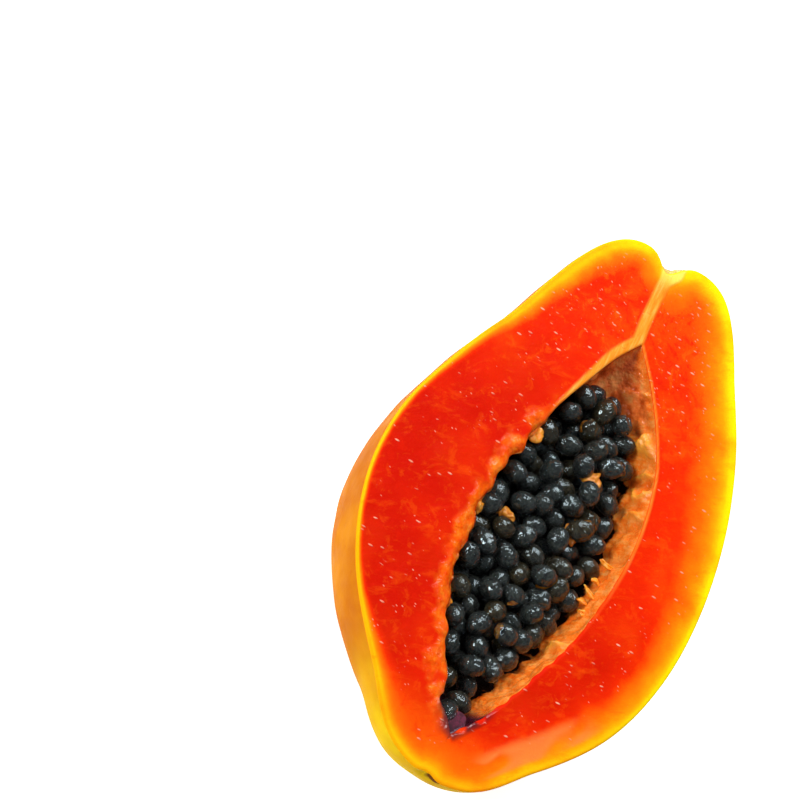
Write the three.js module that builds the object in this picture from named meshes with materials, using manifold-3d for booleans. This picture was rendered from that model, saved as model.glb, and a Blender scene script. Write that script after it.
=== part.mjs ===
// Half of a ripe papaya, cut lengthwise through the stem scar, lying on its skin with the cut face up.
//
// Millimetres. +Y points to the stem end, +Z out of the cut face, +X to the right of the cut face.
// While it is built, the cut face is the plane z = 0 and the fruit's own centre is at x = y = 0.
// The finished group is moved so that the origin is the middle of its footprint, on the table.
//
// One body grew as one piece: skin, flesh and the wall of the seed cavity. The seeds are pieces of
// their own. The upper ones are separate, and the ones under them are joined in their pulp.

import * as THREE from 'three';
import { mergeVertices } from 'three/addons/utils/BufferGeometryUtils.js';
import Module from 'manifold-3d';

const wasm = await Module();
wasm.setup();

// ---------------------------------------------------------------- driving dimensions

// Outline of the cut face: the distance from the fruit's centre to the skin, right and left,
// at an angle in degrees from the stem end.
const OUTLINE = [
  { angle: 0, right: 80, left: 80 },
  { angle: 9, right: 84, left: 78.5 },
  { angle: 15, right: 82.5, left: 74.5 },
  { angle: 30, right: 68.5, left: 59.5 },
  { angle: 45, right: 60.5, left: 50 },
  { angle: 62, right: 55, left: 46.7 },
  { angle: 82, right: 52.5, left: 47.5 },
  { angle: 102, right: 54, left: 53 },
  { angle: 122, right: 59.5, left: 61 },
  { angle: 142, right: 68.5, left: 70 },
  { angle: 160, right: 78.5, left: 79 },
  { angle: 171, right: 88.5, left: 89 },
  { angle: 180, right: 92, left: 92 },
];
const LOBES = 5;              // a papaya is faintly five-sided
const LOBE_HEIGHT = 0.012;    // as a share of the radius
const LOBE_TURN = 0.9;        // radians, where the first lobe sits round the fruit
const STEM_DIMPLE = { depth: 5, radius: 4.5 };
const BLOSSOM_DIMPLE = { depth: 1.6, radius: 2.6 };
const BELLY = { from: 80, to: 150, flatter: 0.1 };    // the underside rises towards the blossom end
const FLAT_SPOT_SAG = 1;      // how far the skin is pressed flat where the half rests

// The seed cavity at a place along the fruit: its right and left edges in the cut face, and its depth.
const CAVITY = [
  { y: 50, right: 2.6, left: 2.2, depth: 1 },
  { y: 41, right: 10.5, left: -3, depth: 10 },
  { y: 30, right: 18, left: -7.5, depth: 17 },
  { y: 18, right: 23.5, left: -12, depth: 22 },
  { y: 0, right: 26.3, left: -17, depth: 25 },
  { y: -18, right: 25.3, left: -19.2, depth: 25 },
  { y: -36, right: 21.5, left: -18.5, depth: 23 },
  { y: -52, right: 15.5, left: -13.5, depth: 19 },
  { y: -66, right: 9, left: -7, depth: 13 },
  { y: -78, right: 1.2, left: 0.8, depth: 1 },
];
const CAVITY_FULLNESS = 2.6;  // power of its cross-section: 2 is an ellipse, more is fuller

const SEED = { across: 3.3, along: 3.5 };      // half sizes
const SEED_SHRINK = 0.1;                       // the smallest seed is this share smaller
const SEED_GAP = 0.3;                          // kept between seeds, and between a seed and the wall
const SEPARATE_SEEDS = 58;
const BURIED_WITHIN = 2.2;                     // a seed this near, seen from above, hides a lower one
const LOOSENESS = 0.6;                         // how far from the very lowest place a seed may settle
const HEAP_LEVEL = -4.8;                       // height of the centres of the top seeds
const WALL_BARE = 5.4;                         // how much lower the heap starts along the right wall
const STEM_POCKET = { from: 30, to: 46, drop: 16 };    // the heap falls away at the stem end
const PULP_TOP = -13;                          // level of the pulp that joins the lower seeds
const PULP_GAP = 0.5;                          // between that pulp and the cavity wall

const SKIN_COLUMNS = 56;
const SKIN_ROWS = 44;
const CAVITY_COLUMNS = 32;
const CAVITY_ROWS = 30;
const ROW_CROWDING = 0.3;     // draws the rows of the skin mesh towards both ends

// ---------------------------------------------------------------- small tools

const COLOURS = {
  flesh: new THREE.MeshStandardMaterial({ color: 0xf0500c, roughness: 0.35, metalness: 0 }),
  seed: new THREE.MeshStandardMaterial({ color: 0x1b1f1e, roughness: 0.2, metalness: 0 }),
  pulp: new THREE.MeshStandardMaterial({ color: 0x3a1c14, roughness: 0.3, metalness: 0 }),
};

// A repeatable source of numbers from 0 to 1.
function makeRandom(seed) {
  let state = seed;
  return () => {
    state = (state + 0x6d2b79f5) | 0;
    let value = Math.imul(state ^ (state >>> 15), 1 | state);
    value = (value + Math.imul(value ^ (value >>> 7), 61 | value)) ^ value;
    return ((value ^ (value >>> 14)) >>> 0) / 2 ** 32;
  };
}

// A smooth curve through the rows of a table: the value of one column where another column is x.
function along(table, key, column, x) {
  const rising = table[0][key] < table[1][key];
  let i = 0;
  while (i < table.length - 2 && (rising ? x > table[i + 1][key] : x < table[i + 1][key])) i += 1;
  const slope = (a, b) => (table[b][column] - table[a][column]) / (table[b][key] - table[a][key]);
  const last = table.length - 1;
  const slopeIn = slope(Math.max(i - 1, 0), i + 1);
  const slopeOut = slope(i, Math.min(i + 2, last));
  const width = table[i + 1][key] - table[i][key];
  const s = THREE.MathUtils.clamp((x - table[i][key]) / width, 0, 1);
  const rise = s * s * (3 - 2 * s);
  return table[i][column] * (1 - rise) + table[i + 1][column] * rise
    + width * (slopeIn * s * (1 - s) ** 2 - slopeOut * s * s * (1 - s));
}

function toSolid(geometry) {
  const bare = geometry.clone();
  bare.deleteAttribute('normal');
  bare.deleteAttribute('uv');
  const merged = mergeVertices(bare, 1e-4);
  return new wasm.Manifold(new wasm.Mesh({
    numProp: 3,
    vertProperties: new Float32Array(merged.attributes.position.array),
    triVerts: new Uint32Array(merged.index.array),
  }));
}

function toGeometry(solid) {
  const mesh = solid.getMesh();
  const geometry = new THREE.BufferGeometry();
  geometry.setAttribute('position', new THREE.BufferAttribute(mesh.vertProperties, 3));
  geometry.setIndex(new THREE.BufferAttribute(mesh.triVerts, 1));
  geometry.computeVertexNormals();
  return geometry;
}

// Moves every vertex of a geometry through a function of its place.
function reshape(geometry, move) {
  const position = geometry.attributes.position;
  const vertex = new THREE.Vector3();
  for (let i = 0; i < position.count; i += 1) {
    move(vertex.fromBufferAttribute(position, i));
    position.setXYZ(i, vertex.x, vertex.y, vertex.z);
  }
  return geometry;
}

const ROOM = 300;             // larger than the fruit
function slab(bottom, top) {
  return toSolid(new THREE.BoxGeometry(ROOM, ROOM, top - bottom).translate(0, 0, (top + bottom) / 2));
}

function namedMesh(name, geometry, material) {
  const mesh = new THREE.Mesh(geometry, material);
  mesh.name = name;
  return mesh;
}

// ---------------------------------------------------------------- skin and flesh

function dimple(shape, distance) {
  return shape.depth * Math.exp(-((distance / shape.radius) ** 2));
}

// Distance from the fruit's centre to the skin. turn is measured from the stem end, and around
// is 0 on the right of the cut face, pi / 2 straight down and pi on the left.
function skinRadius(turn, around) {
  const angle = THREE.MathUtils.radToDeg(turn);
  const rightShare = (1 + Math.cos(around)) / 2;
  const smooth = along(OUTLINE, 'angle', 'right', angle) * rightShare
    + along(OUTLINE, 'angle', 'left', angle) * (1 - rightShare);
  const lobe = 1 + LOBE_HEIGHT * Math.cos(LOBES * around + LOBE_TURN) * Math.sin(turn) ** 2;
  return smooth * lobe - dimple(STEM_DIMPLE, smooth * turn)
    - dimple(BLOSSOM_DIMPLE, smooth * (Math.PI - turn));
}

function makeFruit() {
  const ball = new THREE.SphereGeometry(1, SKIN_COLUMNS, SKIN_ROWS);
  return toSolid(reshape(ball, (vertex) => {
    const row = Math.acos(THREE.MathUtils.clamp(vertex.y, -1, 1));
    const turn = row - ROW_CROWDING * Math.sin(2 * row);
    const around = Math.atan2(-vertex.z, vertex.x);
    const radius = skinRadius(turn, around);
    const rise = THREE.MathUtils.smoothstep(THREE.MathUtils.radToDeg(turn), BELLY.from, BELLY.to);
    vertex.set(
      radius * Math.sin(turn) * Math.cos(around),
      radius * Math.cos(turn),
      -radius * Math.sin(turn) * Math.sin(around) * (1 - BELLY.flatter * rise * Math.sin(around) ** 4),
    );
  }));
}

// ---------------------------------------------------------------- seed cavity

// The cross-section of the cavity at a place along the fruit, drawn in by a clearance.
function cavitySection(y, clearance = 0) {
  const right = along(CAVITY, 'y', 'right', y);
  const left = along(CAVITY, 'y', 'left', y);
  const depth = along(CAVITY, 'y', 'depth', y);
  return {
    middle: (right + left) / 2,
    halfWidth: Math.max((right - left) / 2 - clearance, 0.01),
    depth: Math.max(depth - clearance, 0.01),
  };
}

function makeCavity(clearance) {
  const start = CAVITY[0].y - 2 * clearance;
  const end = CAVITY[CAVITY.length - 1].y + 2 * clearance;
  const power = 2 / CAVITY_FULLNESS;
  const ball = new THREE.SphereGeometry(1, CAVITY_COLUMNS, CAVITY_ROWS);
  return toSolid(reshape(ball, (vertex) => {
    const y = (start + end) / 2 + vertex.y * (start - end) / 2;
    const section = cavitySection(y, clearance);
    const reach = Math.hypot(vertex.x, vertex.z);
    const swell = (share) => (reach < 1e-6 ? 0 : Math.sign(share) * Math.abs(share / reach) ** power);
    vertex.set(
      section.middle + section.halfWidth * swell(vertex.x),
      y,
      section.depth * swell(vertex.z),
    );
  }));
}

function makeHalf() {
  const fruit = makeFruit();
  const lowest = fruit.boundingBox().min[2];
  return fruit.intersect(slab(lowest + FLAT_SPOT_SAG, 0)).subtract(makeCavity(0));
}

// ---------------------------------------------------------------- seeds

const SEED_REACH = SEED.along + SEED_GAP / 2;  // half the distance between two seeds' centres
const SEED_BALL = new THREE.IcosahedronGeometry(1, 1);

// How high the heap of seeds may rise, as the height of a seed's centre.
function heapLevel(x, y) {
  const section = cavitySection(y);
  const side = (x - section.middle) / section.halfWidth;
  return HEAP_LEVEL - WALL_BARE * THREE.MathUtils.smoothstep(side, 0.25, 0.85)
    - STEM_POCKET.drop * THREE.MathUtils.smoothstep(y, STEM_POCKET.from, STEM_POCKET.to);
}

// True where a seed's centre can be without touching the wall of the cavity.
function clearOfWall(x, y, z) {
  const probes = SEED_BALL.attributes.position;
  for (let i = 0; i < probes.count; i += 1) {
    const py = y + SEED_REACH * probes.getY(i);
    if (py > CAVITY[0].y || py < CAVITY[CAVITY.length - 1].y) return false;
    const section = cavitySection(py, SEED_GAP);
    const px = Math.abs(x + SEED_REACH * probes.getX(i) - section.middle) / section.halfWidth;
    const pz = Math.abs(z + SEED_REACH * probes.getZ(i)) / section.depth;
    if (px ** CAVITY_FULLNESS + pz ** CAVITY_FULLNESS > 1) return false;
  }
  return true;
}

// The places over the cavity where a seed can fall, each with the height of the wall under it.
function findSpots(step) {
  const spots = [];
  for (let y = CAVITY[CAVITY.length - 1].y; y <= CAVITY[0].y; y += step) {
    const { middle, halfWidth } = cavitySection(y);
    for (let x = middle - halfWidth; x <= middle + halfWidth; x += step) {
      const level = heapLevel(x, y);
      let z = level;
      while (clearOfWall(x, y, z)) z -= step / 4;
      if (z < level) spots.push({ x, y, level, rest: z + step / 4 });
    }
  }
  return spots;
}

// Fills the cavity as a heap forms: each seed goes where it comes to rest lowest.
function heapSeeds() {
  const random = makeRandom(11);
  const spots = findSpots(1.2);
  const spacing = 2 * SEED_REACH;
  const seeds = [];
  for (;;) {
    const open = spots.filter((spot) => spot.rest <= spot.level);
    if (open.length === 0) return seeds;
    const score = new Map(open.map((spot) => [spot, spot.rest + LOOSENESS * random()]));
    const best = open.reduce((a, b) => (score.get(b) < score.get(a) ? b : a));
    const seed = new THREE.Vector3(best.x, best.y, best.rest);
    seeds.push(seed);
    for (const spot of spots) {
      const apart = Math.hypot(spot.x - seed.x, spot.y - seed.y);
      if (apart < spacing) {
        spot.rest = Math.max(spot.rest, seed.z + Math.sqrt(spacing ** 2 - apart ** 2));
      }
    }
  }
}

// A seed counts as buried when another lies on top of it.
function isBuried(seed, seeds) {
  return seeds.some((other) => other.z > seed.z
    && Math.hypot(other.x - seed.x, other.y - seed.y) < BURIED_WITHIN);
}

function seedGeometry(random) {
  const size = 1 - SEED_SHRINK * random();
  const turn = new THREE.Quaternion().setFromEuler(
    new THREE.Euler(Math.PI * random(), Math.PI * random(), Math.PI * random()),
  );
  return SEED_BALL.clone()
    .scale(SEED.across * size, SEED.across * size, SEED.along * size)
    .applyQuaternion(turn);
}

function makeSeeds() {
  const random = makeRandom(5);
  const all = heapSeeds().sort((a, b) => b.z - a.z);
  const upper = all.filter((seed) => !isBuried(seed, all)).slice(0, SEPARATE_SEEDS);
  const lower = all.filter((seed) => !upper.includes(seed) && seed.z - SEED.across / 2 < PULP_TOP);
  upper.sort((a, b) => b.y - a.y || a.x - b.x);

  const nests = [];
  const separate = upper.map((seed, i) => {
    const geometry = seedGeometry(random);
    nests.push(toSolid(new THREE.IcosahedronGeometry(SEED_REACH + SEED_GAP, 1)
      .translate(seed.x, seed.y, seed.z)));
    const mesh = namedMesh(`seed_${String(i + 1).padStart(2, '0')}`, geometry, COLOURS.seed);
    mesh.position.copy(seed);
    return mesh;
  });

  const buried = lower.map((seed) => toSolid(seedGeometry(random).translate(seed.x, seed.y, seed.z)));
  const pulp = makeCavity(PULP_GAP).intersect(slab(-ROOM / 4, PULP_TOP));
  const joined = wasm.Manifold.union([pulp, ...buried]).subtract(wasm.Manifold.union(nests));
  const largest = joined.decompose().reduce((a, b) => (b.volume() > a.volume() ? b : a));
  return [...separate, namedMesh('seed_bed', toGeometry(largest), COLOURS.pulp)];
}

// ---------------------------------------------------------------- the half, standing on its flat spot

const group = new THREE.Group();
const half = namedMesh('papaya_half', toGeometry(makeHalf()), COLOURS.flesh);
group.add(half, ...makeSeeds());

const box = new THREE.Box3().setFromObject(half);
const centre = box.getCenter(new THREE.Vector3());
group.position.set(-centre.x, -centre.y, -box.min.z);
group.updateMatrixWorld(true);

export default group;
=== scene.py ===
"""Half of a ripe papaya on a pale table: peel, cut flesh, seed cavity and seeds.

Lengths are in millimetres while shapes are worked out, from the fruit's own centre in the cut plane:
+Y to the stem end, +X to the right of the cut face, +Z out of it. They become metres in the row frame.
"""
import math

import bmesh
import bpy
import numpy as np
from mathutils import Matrix, Vector


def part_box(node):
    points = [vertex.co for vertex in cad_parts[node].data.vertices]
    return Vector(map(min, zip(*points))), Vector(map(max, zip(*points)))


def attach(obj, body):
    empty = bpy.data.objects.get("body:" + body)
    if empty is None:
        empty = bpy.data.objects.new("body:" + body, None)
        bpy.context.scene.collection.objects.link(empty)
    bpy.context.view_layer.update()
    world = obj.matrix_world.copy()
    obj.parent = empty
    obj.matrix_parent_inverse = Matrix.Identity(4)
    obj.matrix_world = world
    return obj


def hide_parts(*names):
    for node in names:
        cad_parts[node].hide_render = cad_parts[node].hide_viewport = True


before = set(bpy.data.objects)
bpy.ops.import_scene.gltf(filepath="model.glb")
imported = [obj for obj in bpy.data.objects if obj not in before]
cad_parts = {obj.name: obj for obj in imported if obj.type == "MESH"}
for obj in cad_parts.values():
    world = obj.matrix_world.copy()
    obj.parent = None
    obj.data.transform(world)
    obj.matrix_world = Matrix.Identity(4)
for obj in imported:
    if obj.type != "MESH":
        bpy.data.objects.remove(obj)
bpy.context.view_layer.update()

MM = 0.001

# ------------------------------------------------------------------ the fruit's shape, as in the CAD

# Degrees from the stem end, then the distance from the centre to the skin on the right and the left.
OUTLINE = np.array([
    (0, 80, 80), (9, 84, 78.5), (15, 82.5, 74.5), (30, 68.5, 59.5), (45, 60.5, 50), (62, 55, 46.7),
    (82, 52.5, 47.5), (102, 54, 53), (122, 59.5, 61), (142, 68.5, 70), (160, 78.5, 79),
    (171, 88.5, 89), (180, 92, 92),
])
LOBES, LOBE_HEIGHT, LOBE_TURN = 5, 0.012, 0.9
STEM_DIMPLE = (5, 4.5)            # depth and radius
BLOSSOM_DIMPLE = (1.6, 2.6)
BELLY = (80, 150, 0.1)            # from and to in degrees, and how much flatter
# Place along the fruit, counted down from the stem end, then the cavity's right and left edge and depth.
CAVITY = np.array([
    (-50, 2.6, 2.2, 1), (-41, 10.5, -3, 10), (-30, 18, -7.5, 17), (-18, 23.5, -12, 22),
    (0, 26.3, -17, 25), (18, 25.3, -19.2, 25), (36, 21.5, -18.5, 23), (52, 15.5, -13.5, 19),
    (66, 9, -7, 13), (78, 1.2, 0.8, 1),
])
CAVITY_FULLNESS = 2.6
ROW_CROWDING = 0.3


def step(low, high, x):
    s = np.clip((x - low) / (high - low), 0, 1)
    return s * s * (3 - 2 * s)


def curve(table, column, x):
    """A smooth curve through one column of a table, whose first column rises."""
    knots, values = table[:, 0], table[:, column]
    last = len(knots) - 1
    i = np.clip(np.searchsorted(knots, x) - 1, 0, last - 1)

    def slope(a, b):
        return (values[b] - values[a]) / (knots[b] - knots[a])

    slope_in = slope(np.maximum(i - 1, 0), i + 1)
    slope_out = slope(i, np.minimum(i + 2, last))
    width = knots[i + 1] - knots[i]
    s = np.clip((x - knots[i]) / width, 0, 1)
    rise = s * s * (3 - 2 * s)
    return (values[i] * (1 - rise) + values[i + 1] * rise
            + width * (slope_in * s * (1 - s) ** 2 - slope_out * s * s * (1 - s)))


def dimple(shape, distance):
    depth, radius = shape
    return depth * np.exp(-((distance / radius) ** 2))


def skin_points(turn, around):
    """Skin at an angle from the stem end and round the fruit: 0 is right, pi / 2 down, pi left."""
    degrees = np.degrees(turn)
    right_share = (1 + np.cos(around)) / 2
    smooth = curve(OUTLINE, 1, degrees) * right_share + curve(OUTLINE, 2, degrees) * (1 - right_share)
    radius = smooth * (1 + LOBE_HEIGHT * np.cos(LOBES * around + LOBE_TURN) * np.sin(turn) ** 2)
    radius = radius - dimple(STEM_DIMPLE, smooth * turn) - dimple(BLOSSOM_DIMPLE, smooth * (np.pi - turn))
    flatter = 1 - BELLY[2] * step(BELLY[0], BELLY[1], degrees) * np.sin(around) ** 4
    return np.stack([
        radius * np.sin(turn) * np.cos(around),
        radius * np.cos(turn),
        -radius * np.sin(turn) * np.sin(around) * flatter,
    ], axis=-1)


def cavity_section(y):
    """Middle, half width and depth of the seed cavity at a place along the fruit."""
    right, left, depth = (curve(CAVITY, column, -y) for column in (1, 2, 3))
    return (right + left) / 2, np.maximum((right - left) / 2, 0.01), np.maximum(depth, 0.01)


def cavity_points(y, around):
    middle, half_width, depth = cavity_section(y)
    power = 2 / CAVITY_FULLNESS
    cosine, sine = np.cos(around), np.abs(np.sin(around))
    return np.stack([
        middle + half_width * np.sign(cosine) * np.abs(cosine) ** power,
        y + 0 * around,
        -depth * sine ** power,
    ], axis=-1)


def fruit_centre():
    """The fruit's own centre in the row frame, in millimetres, from where the CAD half lies."""
    low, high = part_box("papaya_half")
    turns = np.linspace(0, np.pi, 2000)
    cut = np.concatenate([skin_points(turns, 0 * turns), skin_points(turns, 0 * turns + np.pi)])
    middle = (cut.min(0) + cut.max(0)) / 2
    return np.array([
        (low.x + high.x) / 2 / MM - middle[0],
        (low.y + high.y) / 2 / MM - middle[1],
        high.z / MM,
    ])


CENTRE = fruit_centre()
HEIGHT = CENTRE[2]

# ------------------------------------------------------------------ small tools


WAVE_COUNT = 22


def waves(points, wavelength, seed):
    """Smooth random hills of about that size, mostly between -1 and 1."""
    random = np.random.default_rng(seed)
    direction = random.normal(size=(3, WAVE_COUNT))
    direction /= np.linalg.norm(direction, axis=0)
    direction *= 2 * np.pi / (wavelength * random.uniform(0.7, 1.5, WAVE_COUNT))
    phase = random.uniform(0, 2 * np.pi, WAVE_COUNT)
    total = np.zeros(points.shape[:-1])
    for i in range(WAVE_COUNT):
        total += np.sin(points @ direction[:, i] + phase[i])
    return total / math.sqrt(WAVE_COUNT)


def ridges(points, wavelength, seed):
    """Sharp creases between rounded hills, from 0 in a crease to about 1."""
    return np.minimum(np.abs(waves(points, wavelength, seed)) * 1.3, 1.5)


def make_piece(name, points, faces, materials, slots=None, values=None):
    """A smooth mesh piece from points in millimetres from the fruit's centre."""
    mesh = bpy.data.meshes.new(name)
    mesh.from_pydata(((points + CENTRE) * MM).tolist(), [], faces.tolist())
    for material in materials:
        mesh.materials.append(material)
    if slots is not None:
        mesh.polygons.foreach_set("material_index", np.asarray(slots, np.int32))
    for key, value in (values or {}).items():
        mesh.attributes.new(key, "FLOAT", "POINT").data.foreach_set("value", value.astype(np.float32))
    mesh.polygons.foreach_set("use_smooth", np.ones(len(mesh.polygons), bool))
    mesh.update()
    piece = bpy.data.objects.new(name, mesh)
    bpy.context.scene.collection.objects.link(piece)
    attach(piece, "root")
    return piece


def weld(piece, distance):
    """Joins doubled points and turns every face outwards."""
    shape = bmesh.new()
    shape.from_mesh(piece.data)
    bmesh.ops.remove_doubles(shape, verts=shape.verts, dist=distance)
    bmesh.ops.dissolve_degenerate(shape, edges=shape.edges, dist=distance)
    bmesh.ops.recalc_face_normals(shape, faces=shape.faces)
    shape.to_mesh(piece.data)
    shape.free()


def ball(detail):
    """Points and triangles of a unit icosphere."""
    shape = bmesh.new()
    bmesh.ops.create_icosphere(shape, subdivisions=detail, radius=1)
    shape.verts.ensure_lookup_table()
    points = np.array([vertex.co[:] for vertex in shape.verts])
    faces = np.array([[vertex.index for vertex in face.verts] for face in shape.faces])
    shape.free()
    return points, faces


# ------------------------------------------------------------------ material tools


class Paint:
    """Builds one node material around a Principled shader."""

    def __init__(self, name):
        self.material = bpy.data.materials.new(name)
        self.material.use_nodes = True
        self.tree = self.material.node_tree
        self.shader = self.tree.nodes["Principled BSDF"]

    def plug(self, socket, value):
        if isinstance(value, bpy.types.NodeSocket):
            self.tree.links.new(value, socket)
        elif isinstance(value, tuple) and socket.type == "RGBA":
            socket.default_value = (*value, 1)
        else:
            socket.default_value = value

    def set(self, **inputs):
        for name, value in inputs.items():
            self.plug(self.shader.inputs[name.replace("_", " ")], value)

    def attribute(self, name):
        node = self.tree.nodes.new("ShaderNodeAttribute")
        node.attribute_name = name
        return node.outputs["Fac"]

    def place(self, scale=(1, 1, 1), turn=(0, 0, 0)):
        """Object coordinates, turned and then scaled."""
        where = self.tree.nodes.new("ShaderNodeTexCoord").outputs["Object"]
        for name, value in (("Rotation", turn), ("Scale", scale)):
            mapping = self.tree.nodes.new("ShaderNodeMapping")
            self.tree.links.new(where, mapping.inputs["Vector"])
            mapping.inputs[name].default_value = value
            where = mapping.outputs["Vector"]
        return where

    def noise(self, size, detail=3, rough=0.5, place=None, bend=0):
        """Noise whose blotches are about size millimetres across."""
        node = self.tree.nodes.new("ShaderNodeTexNoise")
        self.tree.links.new(place or self.place(), node.inputs["Vector"])
        node.inputs["Scale"].default_value = 1 / (size * MM)
        node.inputs["Detail"].default_value = detail
        node.inputs["Roughness"].default_value = rough
        node.inputs["Distortion"].default_value = bend
        return node.outputs["Fac"]

    def cells(self, size, place=None):
        """Distance to the nearest of many scattered spots about size millimetres apart."""
        node = self.tree.nodes.new("ShaderNodeTexVoronoi")
        self.tree.links.new(place or self.place(), node.inputs["Vector"])
        node.inputs["Scale"].default_value = 1 / (size * MM)
        return node.outputs["Distance"]

    def ramp(self, value, *stops):
        node = self.tree.nodes.new("ShaderNodeValToRGB")
        self.plug(node.inputs["Fac"], value)
        elements = node.color_ramp.elements
        while len(elements) < len(stops):
            elements.new(1)
        for element, (position, colour) in zip(elements, stops):
            element.position = position
            element.color = (*colour, 1)
        return node.outputs["Color"]

    def mix(self, share, a, b):
        """Colour a where share is 0 and colour b where it is 1."""
        node = self.tree.nodes.new("ShaderNodeMix")
        node.data_type = "RGBA"
        self.plug(node.inputs[0], share)
        self.plug(node.inputs[6], a)
        self.plug(node.inputs[7], b)
        return node.outputs[2]

    def blend(self, share, a, b):
        """Like mix, for plain numbers."""
        node = self.tree.nodes.new("ShaderNodeMix")
        self.plug(node.inputs[0], share)
        self.plug(node.inputs[2], a)
        self.plug(node.inputs[3], b)
        return node.outputs[0]

    def math(self, how, a, b=0.0):
        node = self.tree.nodes.new("ShaderNodeMath")
        node.operation = how
        self.plug(node.inputs[0], a)
        self.plug(node.inputs[1], b)
        return node.outputs[0]

    def band(self, value, low, high, to_low=0.0, to_high=1.0):
        """Spreads value from low to high smoothly over to_low to to_high."""
        node = self.tree.nodes.new("ShaderNodeMapRange")
        node.interpolation_type = "SMOOTHSTEP"
        self.plug(node.inputs["Value"], value)
        for name, number in (("From Min", low), ("From Max", high), ("To Min", to_low), ("To Max", to_high)):
            node.inputs[name].default_value = number
        return node.outputs["Result"]

    def bump(self, height, depth, normal=None):
        """Relief of that depth in millimetres where height goes from 0 to 1."""
        node = self.tree.nodes.new("ShaderNodeBump")
        node.inputs["Strength"].default_value = 1
        node.inputs["Distance"].default_value = depth * MM
        self.plug(node.inputs["Height"], height)
        if normal is not None:
            self.tree.links.new(normal, node.inputs["Normal"])
        return node.outputs["Normal"]


# ------------------------------------------------------------------ materials

# The bright yellow of the rim where light shines through it is a painted glow.
GLOWING_RIM_YELLOW = (1.0, 0.82, 0.002)
FLESH_RED = (0.92, 0.026, 0.0006)
FLESH_DEEP = (0.62, 0.007, 0.0005)
FLESH_ORANGE = (0.97, 0.125, 0.002)
JUICE = (0.050, 0.006, 0.016)


def skin_material():
    paint = Paint("peel")
    blotches = paint.noise(26, detail=4, rough=0.6)
    marks = paint.noise(9, detail=5, rough=0.65, bend=0.6)
    colour = paint.ramp(
        blotches,
        (0.30, (0.41, 0.100, 0.001)), (0.50, (0.48, 0.135, 0.001)), (0.68, (0.57, 0.20, 0.002)),
    )
    colour = paint.mix(paint.band(marks, 0.58, 0.74), colour, (0.46, 0.110, 0.002))
    # Green is left at the blossom end, and a faint brown scurf lies over the rest.
    end = paint.attribute("blossom")
    green = paint.math("MULTIPLY", end, paint.band(paint.noise(12, detail=4), 0.3, 0.7, 0.55, 1))
    colour = paint.mix(green, colour, (0.72, 0.50, 0.004))
    scurf = paint.cells(3.1, paint.place(scale=(1, 0.45, 1)))
    chosen = paint.band(paint.noise(7, detail=2), 0.56, 0.66)
    specks = paint.math("MULTIPLY", paint.band(scurf, 0.16, 0.05), chosen)
    colour = paint.mix(paint.math("MULTIPLY", specks, 0.55), colour, (0.40, 0.12, 0.006))
    scratches = paint.noise(1.6, detail=2, place=paint.place(scale=(1, 0.08, 1), turn=(0.3, 0.2, 0.5)))
    scratched = paint.math("MULTIPLY", paint.band(scratches, 0.70, 0.78), 0.35)
    colour = paint.mix(scratched, colour, (0.55, 0.20, 0.02))
    # The edge left by the knife shows the paler layer under the peel.
    colour = paint.mix(paint.attribute("edge"), colour, (0.95, 0.40, 0.002))
    scar = paint.attribute("scar")
    cork = paint.ramp(paint.noise(1.3, detail=4, rough=0.7), (0.3, (0.66, 0.32, 0.06)),
                      (0.5, (0.92, 0.62, 0.14)), (0.7, (1.0, 0.85, 0.34)))
    colour = paint.mix(scar, colour, cork)
    tip = paint.attribute("tip")
    colour = paint.mix(tip, colour, (0.17, 0.055, 0.006))
    rough = paint.band(paint.noise(5, detail=4), 0.3, 0.7, 0.46, 0.62)
    rough = paint.math("MAXIMUM", rough, paint.math("MULTIPLY", scar, 0.8))
    pores = paint.bump(paint.cells(0.9), 0.03)
    relief = paint.bump(marks, 0.25, normal=pores)
    relief = paint.bump(paint.math("MULTIPLY", specks, -1), 0.05, normal=relief)
    corky = paint.math("MULTIPLY", paint.noise(0.9, detail=5, rough=0.7), paint.math("ADD", scar, tip))
    relief = paint.bump(corky, 0.9, normal=relief)
    paint.set(Base_Color=colour, Roughness=rough, Normal=relief, Subsurface_Weight=0.05,
              Subsurface_Scale=0.0015, Subsurface_Radius=(1.0, 0.45, 0.1), IOR=1.42,
              Specular_IOR_Level=0.02)
    return paint.material


def ripening_colour(paint, share):
    """Yellow under the peel, through orange to red."""
    # Brighter yellow towards the right and the stem end: a painted glow of light through the rim.
    yellow = paint.mix(paint.attribute("rim_glow"), (1.0, 0.44, 0.003), GLOWING_RIM_YELLOW)
    red = paint.ramp(
        share,
        (0.24, (1.0, 0.60, 0.003)), (0.40, (1.0, 0.36, 0.002)), (0.53, (1.0, 0.23, 0.002)),
        (0.67, (0.99, 0.150, 0.0015)), (0.82, (0.98, 0.083, 0.0012)), (1.0, FLESH_RED),
    )
    colour = paint.mix(paint.band(share, 0.40, 0.06), red, yellow)
    # Deeper red in the middle of the wall, more orange towards both ends.
    clouds = paint.noise(24, detail=3, rough=0.5)
    middle = paint.math("MULTIPLY", paint.band(share, 0.7, 1.5), paint.band(clouds, 0.28, 0.60, 0.65, 1))
    # Deeper red to the left and low down, more orange towards the right and the stem end: partly the flesh's
    # own colour, partly painted shade and painted sheen.
    shade = paint.attribute("shade")
    colour = paint.mix(paint.math("MULTIPLY", middle, shade), colour, FLESH_DEEP)
    warm_and_sheen = paint.math("MULTIPLY", paint.band(paint.noise(17, detail=3), 0.44, 0.72),
                      paint.band(shade, 0.3, 1.0, 0.5, 0.12))
    colour = paint.mix(warm_and_sheen, colour, (0.98, 0.085, 0.0015))
    return paint.mix(paint.attribute("ends"), colour, FLESH_ORANGE)


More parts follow.
